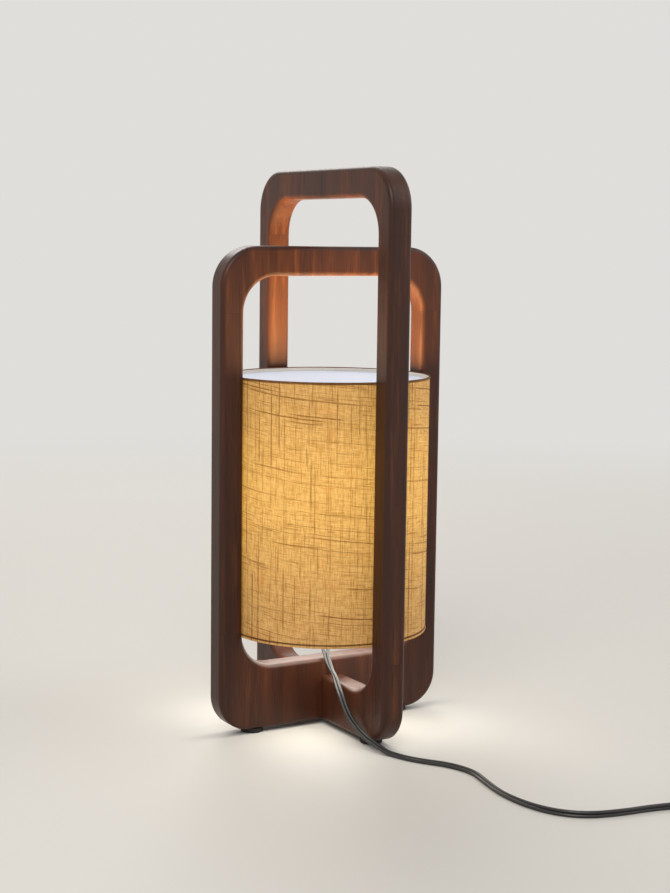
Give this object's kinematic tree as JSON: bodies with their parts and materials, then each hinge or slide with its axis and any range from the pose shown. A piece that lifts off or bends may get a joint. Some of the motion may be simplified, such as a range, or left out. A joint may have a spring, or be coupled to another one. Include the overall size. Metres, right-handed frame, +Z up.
{
  "type": "table lamp",
  "caption": "Table lamp with crossed round-cornered wooden loops, a fabric drum shade between their uprights, a screw-base bulb and a twin cord with an in-line switch.",
  "frame": {"origin": "on the surface that the lamp stands on, under the crossing of the two loops, which is the shade's axis", "axes": "+Z up, the longest way; the low loop lies in the XZ plane and the tall loop in the YZ plane; the cord leaves towards -Y"},
  "size_m": [0.4216, 0.476, 0.5],
  "materials": {
    "wood": "oiled dark hardwood, satin",
    "dowel_wood": "plain beech",
    "pad_rubber": "matte",
    "shade_fabric": "natural slub linen",
    "shade_lining": "white styrene sheet",
    "white_wire": "white powder coat",
    "screw_steel": "zinc plated",
    "spacer": "oiled",
    "holder_black": "moulded, satin",
    "insert_white": "ceramic-like",
    "brass": "bright",
    "opal": "opal diffuser",
    "bulb_white": "moulded white",
    "bulb_metal": "plain",
    "cord_black": "PVC, satin",
    "switch_black": "moulded, satin",
    "pins": "nickel plated"
  },
  "bodies": {
    "lamp": {"low_top_rail": "wood", "low_stile_left": "wood", "low_stile_right": "wood", "low_bottom_rail": "wood", "tall_top_rail": "wood", "tall_stile_near": "wood", "tall_stile_far": "wood", "tall_bottom_rail": "wood", "low_frame_dowels": "dowel_wood", "tall_frame_dowels": "dowel_wood", "foot_pad_right": "pad_rubber", "foot_pad_far": "pad_rubber", "foot_pad_left": "pad_rubber", "foot_pad_near": "pad_rubber", "shade_cover": "shade_fabric", "shade_lining": "shade_lining", "shade_top_ring": "white_wire", "shade_bottom_ring": "white_wire", "shade_screws": "screw_steel", "shade_spacers_low": "spacer", "shade_spacers_tall": "spacer", "holder_grip": "holder_black", "holder_cap": "holder_black", "holder_body": "holder_black", "holder_clamp_ring": "holder_black", "holder_insert": "insert_white", "holder_shell": "brass", "holder_centre_contact": "brass", "cord_lamp_run": "cord_black", "cord_switch_run": "cord_black", "cord_tail": "cord_black", "cord_coil": "cord_black", "coil_tie": "cord_black", "switch_base": "switch_black", "switch_cover": "switch_black", "switch_contacts": "brass", "switch_screws": "screw_steel", "plug_body": "switch_black", "plug_pins": "pins"},
    "rocker": {"switch_rocker": "switch_black"},
    "bulb": {"bulb_dome": "opal", "bulb_housing": "bulb_white", "bulb_board": "bulb_metal", "bulb_cap": "bulb_metal", "bulb_contact": "bulb_metal"}
  },
  "joints": [
    {"name": "switch_rocker_tilt", "type": "hinge", "parent": "lamp", "child": "rocker", "pos_m": [0.176, -0.347, 0.0145], "axis": [0, -1, 0], "range_deg": [0, 18]},
    {"name": "bulb_turn", "type": "hinge", "parent": "lamp", "child": "bulb", "pos_m": [0, 0, 0.145], "axis": [0, 0, 1], "range_deg": [0, 900]}
  ]
}
